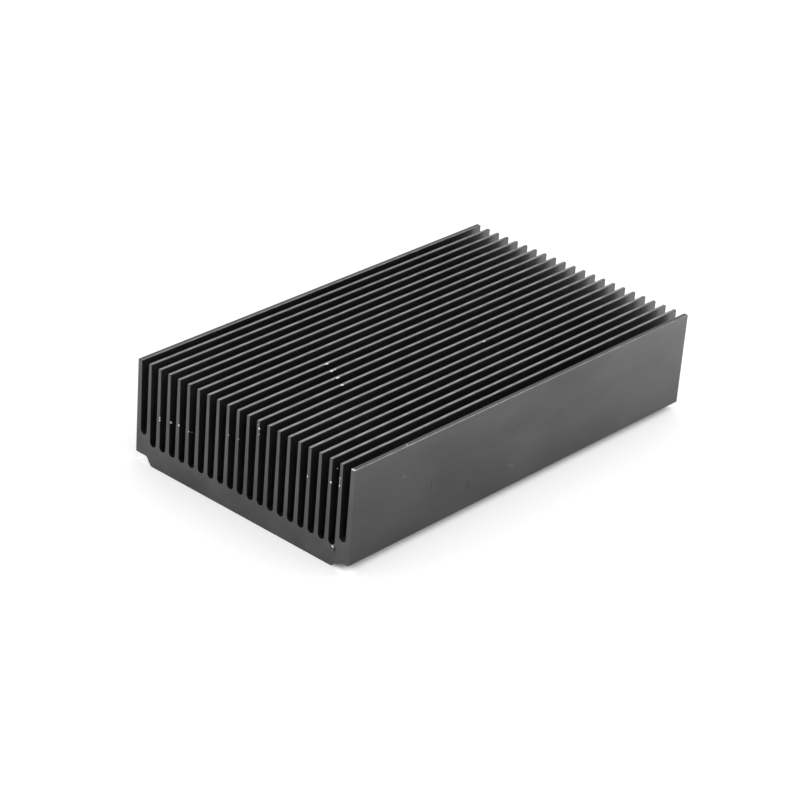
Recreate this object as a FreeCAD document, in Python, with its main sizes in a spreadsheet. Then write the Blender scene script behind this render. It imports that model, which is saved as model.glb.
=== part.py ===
import FreeCAD, Part
import math
import os
import Sketcher

# Heat sink cut from one length of extruded aluminium section. Upright plate fins, thinner at their
# tips than at their roots, stand on a thick base. The middle of the base is a raised mounting pad
# with a sloped shoulder and a flat ledge on each side of it.
# X runs across the fins, Y along the extrusion and Z up. The origin is the centre of the
# mounting face. All sizes are in millimetres.
SIZES = (
    ("sink_length", 120.0, "from saw cut to saw cut, along the extrusion"),
    ("sink_height", 26.6, "from the mounting face to the fin tips"),
    ("base_thickness", 5.4, "metal left below every slot"),
    ("inner_slots", 19, "full depth slots, without the shallower slot at each side"),
    ("slot_mouth", 2.4, "gap between two fins at their tips"),
    ("fin_tip", 0.825, "thickness of an inner fin at its tip"),
    ("fin_root", 1.2, "thickness of an inner fin where the round slot bottom begins"),
    ("outer_fin_tip", 1.22, "thickness of the outermost fin at its tip"),
    ("ledge_height", 2.1, "step from the mounting face up to the side ledge"),
    ("ledge_width", 3.6, "flat of the side ledge, from the side face inwards"),
    ("shoulder_run", 1.6, "sideways run of the sloped shoulder beside the pad"),
    ("tip_radius", 0.1, "rounding along both edges of every fin tip"),
    ("base_radius", 0.3, "rounding along the lengthwise edges under the base"),
)

# Sizes that follow from the ones above, as expressions on the sheet
PITCH = "(Sizes.fin_tip + Sizes.slot_mouth)"
SLOT_ROOT = f"({PITCH} - Sizes.fin_root)"
LAST_INNER_SLOT = f"(Sizes.inner_slots - 1) / 2 * {PITCH}"
OUTER_SLOT = f"(Sizes.inner_slots + 1) / 2 * {PITCH}"
HALF_WIDTH = f"({OUTER_SLOT} + Sizes.slot_mouth / 2 + Sizes.outer_fin_tip)"
OUTER_SLOT_BOTTOM = "Sizes.ledge_height + Sizes.base_thickness"
# A rounding takes at most this share of the thickness of the fin tip that it is on
ROUNDED_SHARE = 0.45
TIP_RADIUS = f"min(Sizes.tip_radius; {ROUNDED_SHARE} * Sizes.fin_tip; {ROUNDED_SHARE} * Sizes.outer_fin_tip)"

# Names that a sketch gives its own origin and axes, and the ends and centre of its lines and arcs
Z_AXIS, X_AXIS = range(-2, 0)
START, END, CENTRE = range(1, 4)
ORIGIN = (X_AXIS, START)

# Two coordinates closer than this are the same when an edge is looked up
SAME_PLACE = 1e-4


def make_sheet(doc):
    """Write the driving sizes into the spreadsheet, one row and one alias for each."""
    sheet = doc.addObject("Spreadsheet::Sheet", "Sizes")
    for row, (alias, value, meaning) in enumerate(SIZES, start=1):
        sheet.set(f"A{row}", alias)
        sheet.set(f"B{row}", str(value))
        sheet.set(f"C{row}", meaning)
        sheet.setAlias(f"B{row}", alias)
    doc.recompute()
    return sheet


def origin_feature(body, role):
    """Return one of the body's own origin planes or axes."""
    return next(item for item in body.Origin.OriginFeatures if item.Role == role)


def section_sketch(body, name):
    """Start a sketch on the plane that the section of the extrusion lies in."""
    sketch = body.newObject("Sketcher::SketchObject", name)
    sketch.AttachmentSupport = [(origin_feature(body, "XZ_Plane"), "")]
    sketch.MapMode = "FlatFace"
    return sketch


def size_of(item, expression):
    """Return the present value of an expression on the sheet."""
    return float(item.evalExpression(expression))


def dimension(sketch, name, kind, references, expression):
    """Add a named dimension between two points, bound to the sheet."""
    value = size_of(sketch, expression)
    index = sketch.addConstraint(Sketcher.Constraint(kind, *references, value))
    sketch.renameConstraint(index, name)
    sketch.setExpression(f"Constraints.{name}", expression)


def constrain(sketch, kind, *references):
    """Add a constraint that has no value."""
    sketch.addConstraint(Sketcher.Constraint(kind, *references))


def outline_sketch(body):
    """Draw the outline of the section: a block to the fin tips, with the stepped underside."""
    sketch = section_sketch(body, "SectionOutline")
    half_width = size_of(sketch, HALF_WIDTH)
    ledge_height = size_of(sketch, "Sizes.ledge_height")
    shoulder_top = half_width - size_of(sketch, "Sizes.ledge_width")
    right_side = [
        (shoulder_top - size_of(sketch, "Sizes.shoulder_run"), 0.0),
        (shoulder_top, ledge_height),
        (half_width, ledge_height),
        (half_width, size_of(sketch, "Sizes.sink_height")),
    ]
    left_side = [(-x, z) for x, z in reversed(right_side)]
    corners = [FreeCAD.Vector(x, z, 0) for x, z in right_side + left_side]
    followers = corners[1:] + corners[:1]
    lines = [sketch.addGeometry(Part.LineSegment(a, b)) for a, b in zip(corners, followers)]
    for line, follower in zip(lines, lines[1:] + lines[:1]):
        constrain(sketch, "Coincident", line, END, follower, START)

    shoulder, ledge, side, _, left_side_face, _, left_shoulder, _ = lines
    constrain(sketch, "Symmetric", shoulder, START, left_shoulder, END, Z_AXIS)
    constrain(sketch, "Symmetric", shoulder, END, left_shoulder, START, Z_AXIS)
    constrain(sketch, "Symmetric", side, START, left_side_face, END, Z_AXIS)
    constrain(sketch, "Symmetric", side, END, left_side_face, START, Z_AXIS)
    constrain(sketch, "PointOnObject", shoulder, START, X_AXIS)
    constrain(sketch, "Horizontal", ledge)
    constrain(sketch, "Vertical", side)
    dimension(sketch, "half_width", "DistanceX", (*ORIGIN, side, START), HALF_WIDTH)
    dimension(sketch, "height", "DistanceY", (*ORIGIN, side, END), "Sizes.sink_height")
    dimension(sketch, "ledge_height", "DistanceY", (*ORIGIN, side, START), "Sizes.ledge_height")
    dimension(sketch, "ledge_width", "DistanceX", (ledge, START, ledge, END), "Sizes.ledge_width")
    dimension(sketch, "shoulder_run", "DistanceX", (shoulder, START, shoulder, END), "Sizes.shoulder_run")
    return sketch


def slot_sketch(body, name, slot_centre, slot_bottom):
    """Draw one slot: walls that close in towards a full round bottom, open at the fin tips."""
    sketch = section_sketch(body, name)
    centre_x = size_of(sketch, slot_centre)
    bottom_z = size_of(sketch, slot_bottom)
    top_z = size_of(sketch, "Sizes.sink_height")
    half_mouth = size_of(sketch, "Sizes.slot_mouth") / 2
    half_root = size_of(sketch, SLOT_ROOT) / 2

    draft = math.atan2(half_mouth - half_root, top_z - bottom_z - half_root)
    radius = half_root / math.cos(draft)
    arc_centre = FreeCAD.Vector(centre_x, bottom_z + radius, 0)
    wall_foot_z = arc_centre.y - radius * math.sin(draft)
    left_mouth = FreeCAD.Vector(centre_x - half_mouth, top_z, 0)
    right_mouth = FreeCAD.Vector(centre_x + half_mouth, top_z, 0)
    left_foot = FreeCAD.Vector(centre_x - half_root, wall_foot_z, 0)
    right_foot = FreeCAD.Vector(centre_x + half_root, wall_foot_z, 0)
    circle = Part.Circle(arc_centre, FreeCAD.Vector(0, 0, 1), radius)

    left_wall = sketch.addGeometry(Part.LineSegment(left_mouth, left_foot))
    bottom = sketch.addGeometry(Part.ArcOfCircle(circle, math.pi + draft, 2 * math.pi - draft))
    right_wall = sketch.addGeometry(Part.LineSegment(right_foot, right_mouth))
    mouth = sketch.addGeometry(Part.LineSegment(right_mouth, left_mouth))
    lowest = sketch.addGeometry(Part.Point(FreeCAD.Vector(centre_x, bottom_z, 0)), True)

    constrain(sketch, "Tangent", left_wall, END, bottom, START)
    constrain(sketch, "Tangent", bottom, END, right_wall, START)
    constrain(sketch, "Coincident", right_wall, END, mouth, START)
    constrain(sketch, "Coincident", mouth, END, left_wall, START)
    constrain(sketch, "Horizontal", mouth)
    constrain(sketch, "Horizontal", bottom, START, bottom, END)
    constrain(sketch, "PointOnObject", lowest, START, bottom)
    constrain(sketch, "Vertical", lowest, START, bottom, CENTRE)
    dimension(sketch, "slot_centre", "DistanceX", (*ORIGIN, bottom, CENTRE), slot_centre)
    dimension(sketch, "slot_bottom", "DistanceY", (*ORIGIN, lowest, START), slot_bottom)
    dimension(sketch, "slot_top", "DistanceY", (*ORIGIN, mouth, START), "Sizes.sink_height")
    dimension(sketch, "mouth", "DistanceX", (mouth, END, mouth, START), "Sizes.slot_mouth")
    dimension(sketch, "root", "DistanceX", (bottom, START, bottom, END), SLOT_ROOT)
    return sketch


def cut_slot(doc, body, name, sketch):
    """Cut one slot through the whole length, and stop if it took no metal away."""
    before = body.Shape.Volume
    pocket = body.newObject("PartDesign::Pocket", name)
    pocket.Profile = sketch
    pocket.Type = "ThroughAll"
    pocket.SideType = "Symmetric"
    doc.recompute()
    if not pocket.Shape.Volume < before:
        raise RuntimeError(f"{name} cut nothing")
    return pocket


def lengthwise_edges(shape, wanted):
    """Name the edges along the extrusion whose middle is at a wanted place in the section."""
    names = []
    for number, edge in enumerate(shape.Edges, start=1):
        first, last = edge.Vertexes[0].Point, edge.Vertexes[-1].Point
        along_y = abs(first.x - last.x) < SAME_PLACE and abs(first.z - last.z) < SAME_PLACE
        if along_y and wanted(first.x, first.z):
            names.append(f"Edge{number}")
    return names


def round_edges(doc, body, name, wanted, radius):
    """Round the wanted lengthwise edges of the body."""
    base = body.Tip
    fillet = body.newObject("PartDesign::Fillet", name)
    fillet.Base = (base, lengthwise_edges(base.Shape, wanted))
    fillet.setExpression("Radius", radius)
    doc.recompute()


def make_heat_sink(doc):
    """Extrude the block, cut the slots that leave the fins standing, and round the edges."""
    body = doc.addObject("PartDesign::Body", "HeatSink")
    body.Label = "heat_sink"

    block = body.newObject("PartDesign::Pad", "ExtrudedBlock")
    block.Profile = outline_sketch(body)
    block.SideType = "Symmetric"
    block.setExpression("Length", "Sizes.sink_length")
    doc.recompute()

    inner = cut_slot(
        doc, body, "InnerSlot", slot_sketch(body, "InnerSlotSection", LAST_INNER_SLOT, "Sizes.base_thickness")
    )
    row = body.newObject("PartDesign::LinearPattern", "InnerSlots")
    row.Originals = [inner]
    row.Direction = (origin_feature(body, "X_Axis"), [""])
    row.Reversed = True
    row.Mode = "Spacing"
    row.setExpression("Offset", PITCH)
    row.setExpression("Occurrences", "Sizes.inner_slots")
    body.Tip = row
    doc.recompute()

    outer = cut_slot(
        doc, body, "OuterSlot", slot_sketch(body, "OuterSlotSection", OUTER_SLOT, OUTER_SLOT_BOTTOM)
    )
    pair = body.newObject("PartDesign::Mirrored", "OuterSlots")
    pair.Originals = [outer]
    pair.MirrorPlane = (origin_feature(body, "YZ_Plane"), [""])
    body.Tip = pair
    doc.recompute()

    tip_z = size_of(body, "Sizes.sink_height")
    under_z = size_of(body, "Sizes.ledge_height")
    round_edges(doc, body, "RoundedTips", lambda x, z: abs(z - tip_z) < SAME_PLACE, TIP_RADIUS)
    round_edges(doc, body, "RoundedBase", lambda x, z: z < under_z + SAME_PLACE, "Sizes.base_radius")
    return body


def check(doc, body):
    """Stop if any feature failed or the body isn't one sound solid."""
    for item in doc.Objects:
        if "Invalid" in item.State or "Error" in item.State:
            raise RuntimeError(f"{item.Name} failed: {item.State}")
    if body.Shape.isNull() or not body.Shape.isValid():
        raise RuntimeError(f"{body.Label} has no valid shape")
    if len(body.Shape.Solids) != 1:
        raise RuntimeError(f"{body.Label} is {len(body.Shape.Solids)} solids, not one")


os.makedirs("parts", exist_ok=True)
document = FreeCAD.newDocument("ExtrudedHeatSink")
make_sheet(document)
heat_sink = make_heat_sink(document)
check(document, heat_sink)
heat_sink.Shape.exportStep(os.path.join("parts", f"{heat_sink.Label}.step"))
box = heat_sink.Shape.BoundBox
print(f"{heat_sink.Label}: {box.XLength:.2f} x {box.YLength:.2f} x {box.ZLength:.2f} mm,"
      f" {heat_sink.Shape.Volume / 1000:.2f} cm3, {len(heat_sink.Shape.Faces)} faces")
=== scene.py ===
import math

import bmesh
import bpy
from mathutils import Matrix, Vector


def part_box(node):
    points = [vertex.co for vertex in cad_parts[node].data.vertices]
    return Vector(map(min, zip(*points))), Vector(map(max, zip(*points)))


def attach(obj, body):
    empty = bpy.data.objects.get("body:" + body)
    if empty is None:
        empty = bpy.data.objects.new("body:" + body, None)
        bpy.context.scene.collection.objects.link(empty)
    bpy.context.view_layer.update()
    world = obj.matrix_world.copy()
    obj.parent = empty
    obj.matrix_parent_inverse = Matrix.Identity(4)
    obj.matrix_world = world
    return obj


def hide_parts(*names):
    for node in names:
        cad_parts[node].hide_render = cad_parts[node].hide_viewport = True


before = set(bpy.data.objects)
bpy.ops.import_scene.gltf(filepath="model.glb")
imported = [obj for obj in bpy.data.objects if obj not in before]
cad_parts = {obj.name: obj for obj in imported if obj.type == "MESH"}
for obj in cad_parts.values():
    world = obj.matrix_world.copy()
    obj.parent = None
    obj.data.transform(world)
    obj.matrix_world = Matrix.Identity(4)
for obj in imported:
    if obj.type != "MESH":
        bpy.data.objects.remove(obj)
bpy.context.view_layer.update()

# The slots of the comb. The bar is pressed through a steel die, and each tongue of the die
# leaves one slot: a full round bottom, with walls that open slightly towards the fin tips.
# Only the outline of the near end is drawn here, as a wire that later becomes the section.
MM = 0.001
LOW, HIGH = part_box("heat_sink")
NEAR_END, FAR_END = LOW.y, HIGH.y
HALF_WIDTH, FIN_TIPS = HIGH.x, HIGH.z
FIN_TIP = 0.825 * MM
FIN_ROOT = 1.2 * MM
SLOT_MOUTH = 2.4 * MM
PITCH = FIN_TIP + SLOT_MOUTH
INNER_SLOTS = 19
OUTER_SLOT_X = (INNER_SLOTS + 1) / 2 * PITCH
SLOT_BOTTOM = 5.4 * MM
SLOT_RADIUS = (PITCH - FIN_ROOT) / 2
BOTTOM_CENTRE = SLOT_BOTTOM + SLOT_RADIUS
TIP_RADIUS = 0.1 * MM
ROUND_BOTTOM_STEPS = 24
TIP_STEPS = 4
# Two points closer than this are one point
SAME = 0.001 * MM


def choose(piece, *others):
    """Select these pieces and nothing else, with the first one active."""
    bpy.ops.object.select_all(action="DESELECT")
    for chosen in (piece, *others):
        chosen.select_set(True)
    bpy.context.view_layer.objects.active = piece


def open_in_edit_mode(piece):
    """Choose one piece and open it for editing."""
    choose(piece)
    bpy.ops.object.mode_set(mode="EDIT")


def pick(piece, kind, test):
    """Select the verts, edges or faces that pass the test, and nothing else."""
    bpy.ops.mesh.select_mode(type={"verts": "VERT", "edges": "EDGE", "faces": "FACE"}[kind])
    bpy.ops.mesh.select_all(action="DESELECT")
    mesh = bmesh.from_edit_mesh(piece.data)
    for item in getattr(mesh, kind):
        if test(item):
            item.select_set(True)
    bmesh.update_edit_mesh(piece.data)


def pull(x, z):
    """Extrude the picked points, and leave the new ones picked."""
    bpy.ops.mesh.extrude_region_move(TRANSFORM_OT_translate={"value": (x, 0, z)})


bpy.ops.object.select_all(action="DESELECT")
bpy.ops.mesh.primitive_circle_add(
    vertices=2 * ROUND_BOTTOM_STEPS,
    radius=SLOT_RADIUS,
    location=(0, NEAR_END, BOTTOM_CENTRE),
    rotation=(math.radians(90), 0, 0),
)
bpy.ops.object.transform_apply(location=True, rotation=True, scale=True)
comb = bpy.context.object
comb.name = "heat_sink_bar"
open_in_edit_mode(comb)
pick(comb, "verts", lambda v: v.co.z > BOTTOM_CENTRE + SAME)
bpy.ops.mesh.delete(type="VERT")
for side in (-1, 1):
    pick(comb, "verts", lambda v: side * v.co.x > SLOT_RADIUS - SAME)
    pull(side * (SLOT_MOUTH / 2 - SLOT_RADIUS), FIN_TIPS - BOTTOM_CENTRE)
    pull(side * FIN_TIP / 2, 0)
pick(comb, "verts", lambda v: v.co.z > FIN_TIPS - SAME and abs(v.co.x) < SLOT_MOUTH / 2 + SAME)
bpy.ops.mesh.bevel(offset=TIP_RADIUS, segments=TIP_STEPS, affect="VERTICES")
bpy.ops.object.mode_set(mode="OBJECT")

# The right side of the bar. The outermost slot is shallower, to keep the metal over the ledge as
# thick as the rest of the base. Outside it stands the thicker outer fin, and the underside
# steps up from the mounting pad over a sloped shoulder to a flat ledge.
LEDGE_HEIGHT = 2.1 * MM
LEDGE_WIDTH = 3.6 * MM
SHOULDER_RUN = 1.6 * MM
BASE_RADIUS = 0.3 * MM
BASE_STEPS = 4
PAD_HALF_WIDTH = HALF_WIDTH - LEDGE_WIDTH - SHOULDER_RUN
OUTER_FIN_FROM = OUTER_SLOT_X + SLOT_MOUTH / 2
# Handling rubs the top edges over this width, which also carries a painted highlight
WEAR_AND_HIGHLIGHT_REACH = 0.24 * MM

choose(comb)
bpy.ops.object.duplicate()
right_side = bpy.context.object
open_in_edit_mode(right_side)
pick(right_side, "verts", lambda v: v.co.z < BOTTOM_CENTRE + SAME)
bpy.ops.transform.translate(value=(0, 0, LEDGE_HEIGHT))
bpy.ops.mesh.select_all(action="SELECT")
bpy.ops.transform.translate(value=(OUTER_SLOT_X, 0, 0))
pick(right_side, "verts", lambda v: v.co.x > OUTER_SLOT_X + PITCH / 2 - SAME)
bpy.ops.transform.translate(value=(HALF_WIDTH - OUTER_SLOT_X - PITCH / 2, 0, 0))
pull(0, LEDGE_HEIGHT - FIN_TIPS)
pull(-LEDGE_WIDTH, 0)
pull(-SHOULDER_RUN, -LEDGE_HEIGHT)
pull(-PAD_HALF_WIDTH, 0)
pick(right_side, "verts", lambda v: v.co.x > HALF_WIDTH - SAME and v.co.z > LEDGE_HEIGHT + SAME)
bpy.ops.mesh.bevel(offset=TIP_RADIUS, segments=TIP_STEPS, affect="VERTICES")
for edge_of_wear_and_highlight in (OUTER_FIN_FROM + WEAR_AND_HIGHLIGHT_REACH, HALF_WIDTH - WEAR_AND_HIGHLIGHT_REACH):
    pick(right_side, "edges", lambda e: all(v.co.z > FIN_TIPS - SAME for v in e.verts))
    bpy.ops.mesh.bisect(plane_co=(edge_of_wear_and_highlight, 0, 0), plane_no=(1, 0, 0))
pick(right_side, "verts", lambda v: v.co.x > SAME and v.co.z < LEDGE_HEIGHT + SAME)
bpy.ops.mesh.bevel(offset=BASE_RADIUS, segments=BASE_STEPS, affect="VERTICES")
bpy.ops.object.mode_set(mode="OBJECT")

# The whole bar. The slot repeats across the comb, the side is mirrored, and the closed outline
# is pushed along the bar to its full length. The saw leaves both ends with a barely broken edge.
# Rings along the bar give the long faces an even mesh.
RINGS = 47
BROKEN_EDGE = 0.05 * MM

open_in_edit_mode(comb)
bpy.ops.mesh.select_all(action="SELECT")
bpy.ops.transform.translate(value=(-(INNER_SLOTS - 1) / 2 * PITCH, 0, 0))
bpy.ops.object.mode_set(mode="OBJECT")
bpy.ops.object.modifier_add(type="ARRAY")
repeat = comb.modifiers[-1]
repeat.count = INNER_SLOTS
repeat.use_relative_offset = False
repeat.use_constant_offset = True
repeat.constant_offset_displace = (PITCH, 0, 0)
bpy.ops.object.modifier_apply(modifier=repeat.name)

choose(right_side)
bpy.ops.object.duplicate()
left_side = bpy.context.object
open_in_edit_mode(left_side)
bpy.ops.mesh.select_all(action="SELECT")
bpy.ops.transform.resize(value=(-1, 1, 1), center_override=(0, 0, 0))
bpy.ops.object.mode_set(mode="OBJECT")

choose(comb, left_side, right_side)
bpy.ops.object.join()
bar = comb
open_in_edit_mode(bar)
bpy.ops.mesh.select_all(action="SELECT")
bpy.ops.mesh.remove_doubles(threshold=SAME)
bpy.ops.mesh.edge_face_add()
bpy.ops.mesh.extrude_region_move(TRANSFORM_OT_translate={"value": (0, FAR_END - NEAR_END, 0)})
pick(bar, "edges", lambda e: abs(e.verts[0].co.y - e.verts[1].co.y) > SAME)
bpy.ops.mesh.subdivide(number_cuts=RINGS)
bpy.ops.mesh.select_all(action="SELECT")
bpy.ops.mesh.normals_make_consistent(inside=False)
pick(bar, "edges", lambda e: all(abs(v.co.y) > FAR_END - SAME for v in e.verts))
bpy.ops.mesh.bevel(offset=BROKEN_EDGE, segments=1, affect="EDGES")
bpy.ops.object.mode_set(mode="OBJECT")

# Nicks. Rough handling has knocked small chips out of the fin edges and tips, and bare
# aluminium shows bright where the black skin is gone. Each chip is a small ragged hollow. In the
# tables the fins are counted from the left, and all but sides and angles is in millimetres.
END_FACE_NICKS = (
    # fin, side of the fin, height, width and length of the chip
    (3, 1, 14.15, 0.35, 0.4),
    (3, 1, 13.45, 0.4, 0.5),
    (5, 1, 14.8, 0.5, 0.5),
    (6, 1, 14.5, 0.35, 0.3),
    (10, 1, 19.0, 0.3, 0.25),
    (11, 1, 19.3, 0.25, 0.25),
    (13, -1, 25.5, 0.25, 0.3),
    (13, 1, 24.7, 0.55, 0.55),
    (13, 1, 23.3, 0.2, 0.25),
    (14, -1, 15.4, 0.25, 0.3),
    (18, -1, 19.2, 0.45, 0.6),
    (20, 1, 20.75, 0.55, 0.5),
    (21, -1, 22.9, 0.4, 0.7),
    (21, -1, 22.1, 0.35, 0.5),
    (21, -1, 21.1, 0.55, 0.75),
)
WALL_NICKS = (
    # fin, distance from the near end, height, depth, length and width of the chip, fall in degrees
    (4, 0.4, 14.15, 1.1, 1.3, 0.5, 50),
    (6, 0.85, 14.1, 0.4, 1.0, 0.15, 25),
    (20, 1.75, 23.6, 0.4, 0.35, 0.3, 0),
)
TIP_NICKS = (
    # fin, distance from the near end, width and length of the chip
    (13, 27.0, 0.6, 1.0),
    (12, 27.2, 0.35, 0.4),
    (12, 28.8, 0.6, 1.4),
    (11, 30.2, 0.6, 1.2),
    (11, 31.3, 0.45, 0.7),
    (10, 31.9, 0.55, 1.1),
    (12, 56.8, 0.3, 0.35),
    (15, 69.5, 0.5, 0.9),
    (6, 67.4, 0.3, 0.35),
    (22, 17.4, 0.4, 0.5),
)
# One fin more than slots, and there is an outermost slot on each side of the inner ones
FINS = INNER_SLOTS + 3
CHIP_DEPTH = 0.4 * MM
# A chip on the end is set in by this share of its own width, and one on a tip sits to the right of
# the tip's middle by this share of the tip
CHIP_SHIFT = 0.25
CHIP_ROUGHNESS = 0.04 * MM
# Two chips have places of their own: a knocked corner, and a speck under the last full slot
CORNER_CHIP_AT = Vector((HALF_WIDTH - 0.6 * MM, NEAR_END, FIN_TIPS))
CORNER_CHIP_SIZE = Vector((1.2, 0.9, 0.35)) * MM
BASE_SPECK_AT = Vector(((INNER_SLOTS - 1) / 2 * PITCH + 0.5 * MM, NEAR_END, SLOT_BOTTOM - 0.3 * MM))
BASE_SPECK_SIZE = Vector((0.6, 0.35, 0.6)) * MM
SEED = 7


def fin_centre(fin):
    """The middle of a fin across the bar, counted from the left."""
    return (fin - (FINS + 1) / 2) * PITCH


def fin_edge(fin, side, height):
    """The face of a fin at a height, to its left or right."""
    share = (height - SLOT_BOTTOM) / (FIN_TIPS - SLOT_BOTTOM)
    return fin_centre(fin) + side * (FIN_ROOT + (FIN_TIP - FIN_ROOT) * share) / 2


def chip(place, size, seed, fall=0.0):
    """Add one small lump, ragged all over, that cuts a chip out of the bar."""
    bpy.ops.object.select_all(action="DESELECT")
    # The ball is one unit across, so its scale is its size
    bpy.ops.mesh.primitive_ico_sphere_add(
        subdivisions=2, radius=0.5, location=place, rotation=(-fall, 0, 0), scale=size
    )
    bpy.ops.object.transform_apply(location=True, rotation=True, scale=True)
    lump = bpy.context.object
    open_in_edit_mode(lump)
    bpy.ops.mesh.select_all(action="SELECT")
    bpy.ops.transform.vertex_random(offset=CHIP_ROUGHNESS, seed=seed)
    bpy.ops.object.mode_set(mode="OBJECT")
    return lump


cutters = [
    chip(CORNER_CHIP_AT, CORNER_CHIP_SIZE, SEED),
    chip(BASE_SPECK_AT, BASE_SPECK_SIZE, SEED + 1),
]
for fin, side, height, width, length in END_FACE_NICKS:
    inwards = side * width * MM * CHIP_SHIFT
    place = (fin_edge(fin, side, height * MM) - inwards, NEAR_END, height * MM)
    size = Vector((width * MM, CHIP_DEPTH, length * MM))
    cutters.append(chip(place, size, SEED + len(cutters)))
for fin, distance, height, depth, length, width, fall in WALL_NICKS:
    place = (fin_edge(fin, 1, height * MM), NEAR_END + distance * MM, height * MM)
    size = Vector((depth, length, width)) * MM
    cutters.append(chip(place, size, SEED + len(cutters), math.radians(fall)))
for fin, distance, width, length in TIP_NICKS:
    place = (fin_centre(fin) + FIN_TIP * CHIP_SHIFT, NEAR_END + distance * MM, FIN_TIPS)
    size = Vector((width * MM, length * MM, CHIP_DEPTH))
    cutters.append(chip(place, size, SEED + len(cutters)))


# The sockets of a node that mixes two colours
SHARE = 0
FIRST = 6
SECOND = 7
MIXED = 2


def srgb(code):
    """Turn a six-digit colour code into the linear colour that a shader takes."""
    parts = [int(code[i:i + 2], 16) / 255 for i in (1, 3, 5)]
    return [p / 12.92 if p <= 0.04045 else ((p + 0.055) / 1.055) ** 2.4 for p in parts] + [1.0]


def material(name):
    """Start a material and return it with its node tree and its main shader."""
    made = bpy.data.materials.new(name)
    made.use_nodes = True
    return made, made.node_tree, made.node_tree.nodes["Principled BSDF"]


def add_node(tree, kind, settings=None, links=None):
    """Add a node, set its properties and plain inputs, and link its other inputs."""
    node = tree.nodes.new(kind)
    for name, value in (settings or {}).items():
        if isinstance(name, int) or name in node.inputs:
            node.inputs[name].default_value = value
        else:
            setattr(node, name, value)
    for name, source in (links or {}).items():
        tree.links.new(source, node.inputs[name])
    return node


# Bare aluminium in the chips. A knock tears the metal open, which leaves it bright and with a
# coarse crystalline look.
TORN_GRAIN = 0.12 * MM
TORN_RELIEF = 0.02 * MM
bare, tree, shader = material("bare_chipped_aluminium")
coords = add_node(tree, "ShaderNodeTexCoord").outputs["Object"]
torn = add_node(
    tree, "ShaderNodeTexNoise", {"Scale": 1 / TORN_GRAIN, "Detail": 2.0}, {"Vector": coords}
).outputs["Fac"]
tone = add_node(
    tree,
    "ShaderNodeMix",
    {"data_type": "RGBA", FIRST: srgb("#D2D4D6"), SECOND: srgb("#F4F5F6")},
    {SHARE: torn},
)
relief = add_node(
    tree, "ShaderNodeBump", {"Strength": 1.0, "Distance": TORN_RELIEF}, {"Height": torn}
)
tree.links.new(tone.outputs[MIXED], shader.inputs["Base Color"])
tree.links.new(relief.outputs["Normal"], shader.inputs["Normal"])
shader.inputs["Metallic"].default_value = 1.0
shader.inputs["Roughness"].default_value = 0.38

for cutter in cutters:
    cutter.data.materials.append(bare)
choose(*cutters)
bpy.ops.object.join()
chips = cutters[0]

# The skin of the extruded faces. Aluminium pushed through a die keeps faint straight lines along
# its length. Etching makes it satin, and the black anodic film over it is slightly cloudy. Deep in
# the slots it is rougher and carries painted shade, darkest near their bottoms, and the side face
# has a few faint marks.
FILM_METAL = 0.82
DIE_LINE = 0.5 * MM
DIE_LINE_LENGTH = 90 * MM
CLOUD = Vector((18, 30, 11)) * MM
CLOUD_TILT = math.radians(-32)
# Etched grain is nearer 0.05 mm, and is drawn coarser here so that it shows
ETCHED_GRAIN = 0.25 * MM
SKIN_RELIEF = 0.003 * MM
# Die lines and grain count this much beside the clouds
FINE_SHARE = 0.25
# Skin this close to the side isn't in a slot
SIDE_SKIN = 0.6 * MM
# How much rougher the film is inside a slot, and how much more so deep down in it
ROUGHER_IN_SLOTS = 0.08
ROUGHER_DEEP_DOWN = 0.2
# Painted shade: the slots darken between the first two heights, and darkest between the last two
SLOT_SHADE_AND_DULL_FROM = FIN_TIPS - 5 * MM
SLOT_SHADE_AND_DULL_TO = FIN_TIPS - 14 * MM
SLOT_FLOOR_SHADE_FROM = SLOT_BOTTOM + 1.6 * MM
SLOT_FLOOR_SHADE_TO = SLOT_BOTTOM + 0.2 * MM
SLOTS_ABOVE = (LEDGE_HEIGHT + SLOT_BOTTOM) / 2
# A mark on a face reaches this far to either side of it
MARK_DEPTH = 1 * MM
SIDE_MARKS = (
    # place along the bar, height, half length, half width, tilt in degrees, colour
    (-43.3, 19.0, 0.8, 0.5, 0, "#686868"),
    (-33.6, 13.3, 1.9, 0.5, 90, "#3C3C3C"),
    (-33.0, 13.3, 1.6, 0.4, 90, "#5C5C5C"),
    (-20.5, 8.3, 1.1, 0.7, 70, "#3C3C3C"),
    (12.0, 16.0, 1.2, 0.9, 0, "#444444"),
    (-5.0, 7.7, 2.8, 0.35, -24, "#686868"),
)


def metal_finish(tree, shader, colour, roughness, height, relief):
    """Link the colour, gloss and fine relief of a metal surface."""
    bump = add_node(
        tree, "ShaderNodeBump", {"Strength": 1.0, "Distance": relief}, {"Height": height}
    )
    tree.links.new(colour, shader.inputs["Base Color"])
    tree.links.new(roughness, shader.inputs["Roughness"])
    tree.links.new(bump.outputs["Normal"], shader.inputs["Normal"])


def soft_spot(tree, coords, place, size, tilt=(0, 0, 0)):
    """Make a fade that is one in the middle of a spot and nothing at its edge."""
    spot = add_node(
        tree,
        "ShaderNodeMapping",
        {"vector_type": "TEXTURE", "Location": place, "Rotation": tilt, "Scale": size},
        {"Vector": coords},
    ).outputs["Vector"]
    return add_node(
        tree, "ShaderNodeTexGradient", {"gradient_type": "SPHERICAL"}, {"Vector": spot}
    ).outputs["Fac"]


def mark(tree, coords, colour, tone, place, size, tilt=(0, 0, 0)):
    """Lay one soft spot of another colour over a colour, and return the result."""
    fade = soft_spot(tree, coords, place, size, tilt)
    return add_node(
        tree,
        "ShaderNodeMix",
        {"data_type": "RGBA", SECOND: srgb(tone)},
        {SHARE: fade, FIRST: colour},
    ).outputs[MIXED]


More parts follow.
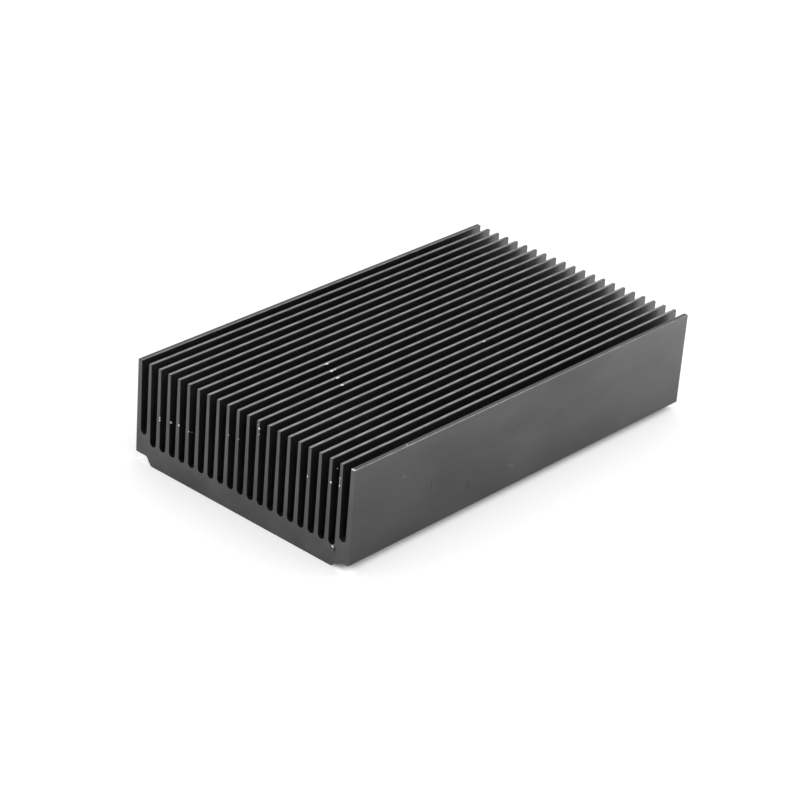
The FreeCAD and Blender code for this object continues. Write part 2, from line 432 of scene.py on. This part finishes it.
extruded, tree, shader = material("black_anodised_extrusion")
shader.inputs["Metallic"].default_value = FILM_METAL
coords = add_node(tree, "ShaderNodeTexCoord").outputs["Object"]
drawn = add_node(
    tree,
    "ShaderNodeMapping",
    {"Scale": (1 / DIE_LINE, 1 / DIE_LINE_LENGTH, 1 / DIE_LINE)},
    {"Vector": coords},
).outputs["Vector"]
die_lines = add_node(
    tree,
    "ShaderNodeTexNoise",
    {"Scale": 1.0, "Detail": 4.0, "Roughness": 0.6},
    {"Vector": drawn},
).outputs["Fac"]
tilted = add_node(
    tree,
    "ShaderNodeMapping",
    {"Rotation": (CLOUD_TILT, 0, 0), "Scale": (1 / CLOUD.x, 1 / CLOUD.y, 1 / CLOUD.z)},
    {"Vector": coords},
).outputs["Vector"]
clouds = add_node(
    tree,
    "ShaderNodeTexNoise",
    {"Scale": 1.0, "Detail": 3.0, "Roughness": 0.5, "Distortion": 0.5},
    {"Vector": tilted},
).outputs["Fac"]
grain = add_node(
    tree, "ShaderNodeTexNoise", {"Scale": 1 / ETCHED_GRAIN, "Detail": 2.0}, {"Vector": coords}
).outputs["Fac"]
texture = add_node(
    tree, "ShaderNodeMath", {"operation": "ADD"}, {0: die_lines, 1: grain}
).outputs["Value"]
uneven = add_node(
    tree, "ShaderNodeMath", {"operation": "MULTIPLY_ADD", 1: FINE_SHARE}, {0: texture, 2: clouds}
).outputs["Value"]
film = add_node(
    tree, "ShaderNodeMapRange", {"From Min": 0.5, "From Max": 1.0}, {"Value": uneven}
).outputs["Result"]
colour = add_node(
    tree,
    "ShaderNodeMix",
    {"data_type": "RGBA", FIRST: srgb("#474747"), SECOND: srgb("#565655")},
    {SHARE: film},
).outputs[MIXED]
for along, height, length, width, tilt, tone in SIDE_MARKS:
    place = (HALF_WIDTH, along * MM, height * MM)
    size = (MARK_DEPTH, length * MM, width * MM)
    colour = mark(tree, coords, colour, tone, place, size, (math.radians(tilt), 0, 0))
position = add_node(tree, "ShaderNodeSeparateXYZ", None, {"Vector": coords})
across = add_node(
    tree, "ShaderNodeMath", {"operation": "ABSOLUTE"}, {0: position.outputs["X"]}
).outputs["Value"]
inside = add_node(
    tree,
    "ShaderNodeMath",
    {"operation": "LESS_THAN", 1: HALF_WIDTH - SIDE_SKIN},
    {0: across},
).outputs["Value"]
above = add_node(
    tree,
    "ShaderNodeMath",
    {"operation": "GREATER_THAN", 1: SLOTS_ABOVE},
    {0: position.outputs["Z"]},
).outputs["Value"]
in_slots = add_node(
    tree, "ShaderNodeMath", {"operation": "MULTIPLY"}, {0: inside, 1: above}
).outputs["Value"]
depth = add_node(
    tree,
    "ShaderNodeMapRange",
    {"From Min": SLOT_SHADE_AND_DULL_FROM, "From Max": SLOT_SHADE_AND_DULL_TO},
    {"Value": position.outputs["Z"]},
).outputs["Result"]
deep_slot_shade_and_dullness = add_node(
    tree, "ShaderNodeMath", {"operation": "MULTIPLY"}, {0: in_slots, 1: depth}
).outputs["Value"]
# Painted shade: the colour darkens deep in the slots
colour = add_node(
    tree,
    "ShaderNodeMix",
    {"data_type": "RGBA", SECOND: srgb("#3C3C3C")},
    {SHARE: deep_slot_shade_and_dullness, FIRST: colour},
).outputs[MIXED]
slot_floor_shade_ramp = add_node(
    tree,
    "ShaderNodeMapRange",
    {"From Min": SLOT_FLOOR_SHADE_FROM, "From Max": SLOT_FLOOR_SHADE_TO},
    {"Value": position.outputs["Z"]},
).outputs["Result"]
painted_slot_floor_shade = add_node(
    tree, "ShaderNodeMath", {"operation": "MULTIPLY"}, {0: in_slots, 1: slot_floor_shade_ramp}
).outputs["Value"]
# Painted shade: the colour is darkest near the slot bottoms
colour = add_node(
    tree,
    "ShaderNodeMix",
    {"data_type": "RGBA", SECOND: srgb("#242424")},
    {SHARE: painted_slot_floor_shade, FIRST: colour},
).outputs[MIXED]
satin = add_node(
    tree, "ShaderNodeMapRange", {"To Min": 0.2, "To Max": 0.28}, {"Value": film}
).outputs["Result"]
duller = add_node(
    tree,
    "ShaderNodeMath",
    {"operation": "MULTIPLY_ADD", 1: ROUGHER_IN_SLOTS},
    {0: in_slots, 2: satin},
).outputs["Value"]
dull = add_node(
    tree,
    "ShaderNodeMath",
    {"operation": "MULTIPLY_ADD", 1: ROUGHER_DEEP_DOWN},
    {0: deep_slot_shade_and_dullness, 2: duller},
).outputs["Value"]
metal_finish(tree, shader, colour, dull, texture, SKIN_RELIEF)

# The rubbed fin tips. Handling has worn the film thin on their flats, and on the right-hand top
# edges of the two outer fins, in patches where a little of the aluminium shows through. Their
# lighter colour there is also a painted highlight.
WEAR_AND_HIGHLIGHT_PATCH = 0.5 * MM
WEAR_AND_HIGHLIGHT_PATCH_LENGTH = 3 * MM
# Painted light: the right side and the near end are a little lighter, by this share from middle to edge
PAINTED_LIGHT_SHARE = 0.04
PAINTED_LIGHT_TOWARDS = (PAINTED_LIGHT_SHARE / HALF_WIDTH, -PAINTED_LIGHT_SHARE / FAR_END, 0)

worn_and_highlit_finish, tree, shader = material("black_anodised_worn_and_highlit_edge")
shader.inputs["Metallic"].default_value = FILM_METAL
coords = add_node(tree, "ShaderNodeTexCoord").outputs["Object"]
stretched = add_node(
    tree,
    "ShaderNodeMapping",
    {"Scale": (1 / WEAR_AND_HIGHLIGHT_PATCH, 1 / WEAR_AND_HIGHLIGHT_PATCH_LENGTH, 1 / WEAR_AND_HIGHLIGHT_PATCH)},
    {"Vector": coords},
).outputs["Vector"]
patches = add_node(
    tree, "ShaderNodeTexNoise", {"Scale": 1.0, "Detail": 4.0}, {"Vector": stretched}
).outputs["Fac"]
# Painted light: a little lighter towards the right side and the near end
painted_light_gradient = add_node(
    tree, "ShaderNodeVectorMath", {"operation": "DOT_PRODUCT", 1: PAINTED_LIGHT_TOWARDS}, {0: coords}
).outputs["Value"]
wear_and_painted_light = add_node(
    tree, "ShaderNodeMath", {"operation": "ADD"}, {0: patches, 1: painted_light_gradient}
).outputs["Value"]
wear_and_highlight = add_node(
    tree, "ShaderNodeMapRange", {"From Min": 0.3, "From Max": 0.75}, {"Value": wear_and_painted_light}
).outputs["Result"]
# Painted highlight over real wear: lighter in patches on the rubbed tips and edges
colour = add_node(
    tree,
    "ShaderNodeMix",
    {"data_type": "RGBA", FIRST: srgb("#666665"), SECOND: srgb("#A4A4A3")},
    {SHARE: wear_and_highlight},
).outputs[MIXED]
gloss = add_node(
    tree, "ShaderNodeMapRange", {"To Min": 0.3, "To Max": 0.22}, {"Value": wear_and_highlight}
).outputs["Result"]
metal_finish(tree, shader, colour, gloss, patches, SKIN_RELIEF)

# The two sawn ends. A circular saw leaves shallow arcs across the section, centred where its
# arbor ran, and the film over this rougher metal scatters the light more than on the long faces.
BLADE_CENTRE = Vector((-140, 0, -90)) * MM
# Feed marks are nearer 0.1 mm apart, and are drawn coarser here so that they show
SAW_MARK = 0.4 * MM
SAW_RELIEF = 0.004 * MM
SMUDGE = 7 * MM
# The arcs count this much beside the grain, and both together this much beside the smudges
ARC_SHARE = 0.4
FINE_MARK_SHARE = 0.4
# A short dark mark runs down beside the speck under the last full slot
DARK_MARK_AT = BASE_SPECK_AT + Vector((0.7, 0, -0.6)) * MM
DARK_MARK_SIZE = Vector((0.4, 0.4, 1.1)) * MM

sawn, tree, shader = material("black_anodised_saw_cut")
shader.inputs["Metallic"].default_value = FILM_METAL
coords = add_node(tree, "ShaderNodeTexCoord").outputs["Object"]
from_arbor = add_node(
    tree,
    "ShaderNodeMapping",
    {"Location": (-BLADE_CENTRE.x, 0, -BLADE_CENTRE.z), "Scale": (1, 0, 1)},
    {"Vector": coords},
).outputs["Vector"]
sweep = add_node(
    tree, "ShaderNodeVectorMath", {"operation": "LENGTH"}, {0: from_arbor}
).outputs["Value"]
saw_arcs = add_node(
    tree,
    "ShaderNodeTexNoise",
    {"noise_dimensions": "1D", "Scale": 1 / SAW_MARK, "Detail": 3.0, "Roughness": 0.6},
    {"W": sweep},
).outputs["Fac"]
smudges = add_node(
    tree, "ShaderNodeTexNoise", {"Scale": 1 / SMUDGE, "Detail": 3.0}, {"Vector": coords}
).outputs["Fac"]
grain = add_node(
    tree, "ShaderNodeTexNoise", {"Scale": 1 / ETCHED_GRAIN, "Detail": 2.0}, {"Vector": coords}
).outputs["Fac"]
marks = add_node(
    tree, "ShaderNodeMath", {"operation": "MULTIPLY_ADD", 1: ARC_SHARE}, {0: saw_arcs, 2: grain}
).outputs["Value"]
mottle = add_node(
    tree,
    "ShaderNodeMath",
    {"operation": "MULTIPLY_ADD", 1: FINE_MARK_SHARE},
    {0: marks, 2: smudges},
).outputs["Value"]
film = add_node(
    tree, "ShaderNodeMapRange", {"From Min": 0.5, "From Max": 1.05}, {"Value": mottle}
).outputs["Result"]
colour = add_node(
    tree,
    "ShaderNodeMix",
    {"data_type": "RGBA", FIRST: srgb("#505050"), SECOND: srgb("#636363")},
    {SHARE: film},
).outputs[MIXED]
colour = mark(tree, coords, colour, "#1C1C1C", DARK_MARK_AT, DARK_MARK_SIZE)
dull = add_node(
    tree, "ShaderNodeMapRange", {"To Min": 0.34, "To Max": 0.44}, {"Value": film}
).outputs["Result"]
metal_finish(tree, shader, colour, dull, marks, SAW_RELIEF)

# The finished bar. Rubbed faces, which carry a painted highlight, and sawn faces get their own
# finish, the chips are cut out, and their hollows take the bare metal with them. Shading is smooth
# over each round, sharp at a sawn edge.
WEAR_AND_HIGHLIGHT_DEPTH = 1.1 * TIP_RADIUS
# The least rise of a face's normal, on a flat and on the upper part of a rounded edge
FLAT_RISE = 0.999
ROUND_RISE = 0.5
SMOOTH_BELOW = math.radians(30)


def is_worn_and_highlit(face):
    """Whether a face is rubbed, with a painted highlight: flats of the inner fins, right-hand top edges of
    the outer ones.
    """
    if any(v.co.z < FIN_TIPS - WEAR_AND_HIGHLIGHT_DEPTH for v in face.verts):
        return False
    if all(abs(v.co.x) < OUTER_SLOT_X for v in face.verts):
        return face.normal.z > FLAT_RISE
    edge = HALF_WIDTH if face.verts[0].co.x > 0 else -OUTER_FIN_FROM
    reached = all(edge - WEAR_AND_HIGHLIGHT_REACH - SAME < v.co.x < edge + SAME for v in face.verts)
    return reached and face.normal.z > ROUND_RISE


finishes = (extruded, worn_and_highlit_finish, sawn, bare)
for finish in finishes:
    bar.data.materials.append(finish)
open_in_edit_mode(bar)
pick(bar, "faces", is_worn_and_highlit)
bar.active_material_index = finishes.index(worn_and_highlit_finish)
bpy.ops.object.material_slot_assign()
pick(bar, "faces", lambda f: all(abs(v.co.y) > FAR_END - BROKEN_EDGE - SAME for v in f.verts))
bar.active_material_index = finishes.index(sawn)
bpy.ops.object.material_slot_assign()
bpy.ops.object.mode_set(mode="OBJECT")

choose(bar)
bpy.ops.object.modifier_add(type="BOOLEAN")
cut = bar.modifiers[-1]
cut.operation = "DIFFERENCE"
cut.solver = "EXACT"
cut.object = chips
cut.material_mode = "TRANSFER"
bpy.ops.object.modifier_apply(modifier=cut.name)
bpy.data.objects.remove(chips)

bpy.ops.object.shade_smooth_by_angle(angle=SMOOTH_BELOW)
bpy.ops.object.modifier_add(type="WEIGHTED_NORMAL")
weigh = bar.modifiers[-1]
weigh.keep_sharp = True
bpy.ops.object.modifier_apply(modifier=weigh.name)

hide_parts("heat_sink")
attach(bar, "root")

# The studio: a plain white floor, an even white surround, and one soft lamp behind the bar on its
# right. In the metal the floor shows brighter away from the bar and towards the back.
FLOOR_HALF = 4.0
# How much the floor glows to the camera, so that its paper comes out white in the picture
FLOOR_LIFT = 0.38
# The glow fades away under the bar between these distances from its middle, and over this length
# inside its sawn ends
LIFT_FADE_FROM = HALF_WIDTH - 0.6 * MM
LIFT_FADE_TO = HALF_WIDTH - 3.2 * MM
LIFT_END_FADE = 1.5 * MM
# Painted light: the floor glows more to the camera under both ledges at the near end, where light comes in
PAINTED_FLOOR_LIGHT_SPOTS = (
    # place and half size, each across and along the bar in millimetres, and the glow that it adds
    (32.8, -58.9, 3.0, 2.6, 0.32),
    (-31.8, -58.3, 3.5, 2.4, 0.6),
)
# How much the floor glows in the metal: beside the bar, from this reach on, and more behind it
MIRRORED_CLOSE = 0.12
MIRRORED_REACH = 60 * MM
MIRRORED_AROUND = 0.64
MIRRORED_BEHIND = 0.6


def told_apart(tree):
    """Tell rays straight from the camera, and rays off shiny metal or through glass."""
    rays = add_node(tree, "ShaderNodeLightPath")
    in_metal = add_node(
        tree,
        "ShaderNodeMath",
        {"operation": "MAXIMUM"},
        {0: rays.outputs["Is Glossy Ray"], 1: rays.outputs["Is Transmission Ray"]},
    ).outputs["Value"]
    return rays.outputs["Is Camera Ray"], in_metal


bpy.ops.object.select_all(action="DESELECT")
bpy.ops.mesh.primitive_plane_add(size=2 * FLOOR_HALF, location=(0, 0, 0))
floor = bpy.context.object
floor.name = "floor"
# White paper off a roll is pressed even but has no coat, so it looks plain and matt
paper, tree, shader = material("white_paper")
shader.inputs["Base Color"].default_value = srgb("#F1F1F1")
shader.inputs["Roughness"].default_value = 0.9
shader.inputs["Specular IOR Level"].default_value = 0.0
shader.inputs["Emission Color"].default_value = (1, 1, 1, 1)
ground = add_node(tree, "ShaderNodeTexCoord").outputs["Object"]
along = add_node(tree, "ShaderNodeSeparateXYZ", None, {"Vector": ground}).outputs["Y"]
behind = add_node(
    tree,
    "ShaderNodeMapRange",
    {"From Min": 0.0, "From Max": 2 * FAR_END, "To Max": MIRRORED_BEHIND},
    {"Value": along},
).outputs["Result"]
either_way = add_node(
    tree, "ShaderNodeVectorMath", {"operation": "ABSOLUTE"}, {0: ground}
).outputs["Vector"]
past_sides = add_node(
    tree,
    "ShaderNodeVectorMath",
    {"operation": "SUBTRACT", 1: (HALF_WIDTH, FAR_END, 0)},
    {0: either_way},
).outputs["Vector"]
outside = add_node(
    tree, "ShaderNodeVectorMath", {"operation": "MAXIMUM", 1: (0, 0, 0)}, {0: past_sides}
).outputs["Vector"]
clear = add_node(
    tree, "ShaderNodeVectorMath", {"operation": "LENGTH"}, {0: outside}
).outputs["Value"]
around = add_node(
    tree,
    "ShaderNodeMapRange",
    {"From Max": MIRRORED_REACH, "To Min": MIRRORED_CLOSE, "To Max": MIRRORED_AROUND},
    {"Value": clear},
).outputs["Result"]
mirrored = add_node(
    tree, "ShaderNodeMath", {"operation": "ADD"}, {0: around, 1: behind}
).outputs["Value"]
reach = add_node(tree, "ShaderNodeSeparateXYZ", None, {"Vector": either_way})
past_ledge = add_node(
    tree,
    "ShaderNodeMapRange",
    {"From Min": LIFT_FADE_TO, "From Max": LIFT_FADE_FROM, "To Max": FLOOR_LIFT},
    {"Value": reach.outputs["X"]},
).outputs["Result"]
past_end = add_node(
    tree,
    "ShaderNodeMapRange",
    {"From Min": FAR_END - LIFT_END_FADE, "From Max": FAR_END, "To Max": FLOOR_LIFT},
    {"Value": reach.outputs["Y"]},
).outputs["Result"]
open_floor = add_node(
    tree, "ShaderNodeMath", {"operation": "MAXIMUM"}, {0: past_ledge, 1: past_end}
).outputs["Value"]
# Painted light: lighter spots on the floor under the ledges
for x, y, half_x, half_y, extra in PAINTED_FLOOR_LIGHT_SPOTS:
    size = (half_x * MM, half_y * MM, MARK_DEPTH)
    fade = soft_spot(tree, ground, (x * MM, y * MM, 0), size)
    open_floor = add_node(
        tree, "ShaderNodeMath", {"operation": "MULTIPLY_ADD", 1: extra}, {0: fade, 2: open_floor}
    ).outputs["Value"]
from_camera, in_metal = told_apart(tree)
direct = add_node(
    tree, "ShaderNodeMath", {"operation": "MULTIPLY"}, {0: from_camera, 1: open_floor}
).outputs["Value"]
lift = add_node(
    tree, "ShaderNodeMath", {"operation": "MULTIPLY_ADD"}, {0: in_metal, 1: mirrored, 2: direct}
).outputs["Value"]
tree.links.new(lift, shader.inputs["Emission Strength"])
floor.data.materials.append(paper)

SURROUND_LIGHT = 0.9
world = bpy.data.worlds.new("white_surround")
bpy.context.scene.world = world
world.use_nodes = True
tree = world.node_tree
back = tree.nodes["Background"]
back.inputs["Color"].default_value = (1, 1, 1, 1)
from_camera, in_metal = told_apart(tree)
seen = add_node(
    tree, "ShaderNodeMath", {"operation": "MAXIMUM"}, {0: from_camera, 1: in_metal}
).outputs["Value"]
level = add_node(
    tree, "ShaderNodeMapRange", {"To Min": SURROUND_LIGHT, "To Max": 1.0}, {"Value": seen}
).outputs["Result"]
tree.links.new(level, back.inputs["Strength"])

LAMP_DISTANCE = 1.2
LAMP_AZIMUTH = 35.0
LAMP_ELEVATION = 38.0
LAMP_SIZE = 0.3
LAMP_POWER = 1.0
turn = math.radians(LAMP_AZIMUTH)
rise = math.radians(LAMP_ELEVATION)
towards_lamp = Vector(
    (math.sin(turn) * math.cos(rise), math.cos(turn) * math.cos(rise), math.sin(rise))
)
bpy.ops.object.light_add(type="AREA", location=towards_lamp * LAMP_DISTANCE)
lamp = bpy.context.object
lamp.rotation_euler = towards_lamp.to_track_quat("Z", "Y").to_euler()
lamp.data.size = LAMP_SIZE
lamp.data.energy = LAMP_POWER

# The camera. It stands to the right of the near end and looks down on the bar, as in the
# photograph, from so far off that the bar narrows little towards its far end.
CAMERA_AZIMUTH = 40.44
CAMERA_ELEVATION = 27.87
CAMERA_ROLL = 4.48
CAMERA_DISTANCE = 657.91 * MM
CAMERA_AIM = Vector((-1.87, -4.02, 9.80)) * MM
CAMERA_LENS = 122.38
bpy.ops.object.camera_add()
camera = bpy.context.object
facing = (
    Matrix.Rotation(math.radians(CAMERA_AZIMUTH), 4, "Z")
    @ Matrix.Rotation(math.radians(90 - CAMERA_ELEVATION), 4, "X")
    @ Matrix.Rotation(math.radians(CAMERA_ROLL), 4, "Z")
)
camera.matrix_world = Matrix.Translation(CAMERA_AIM) @ facing @ Matrix.Translation((0, 0, CAMERA_DISTANCE))
camera.data.lens = CAMERA_LENS
camera.data.sensor_width = 36.0
bpy.context.scene.camera = camera

bpy.context.scene.view_settings.view_transform = "Standard"
bpy.context.view_layer.update()
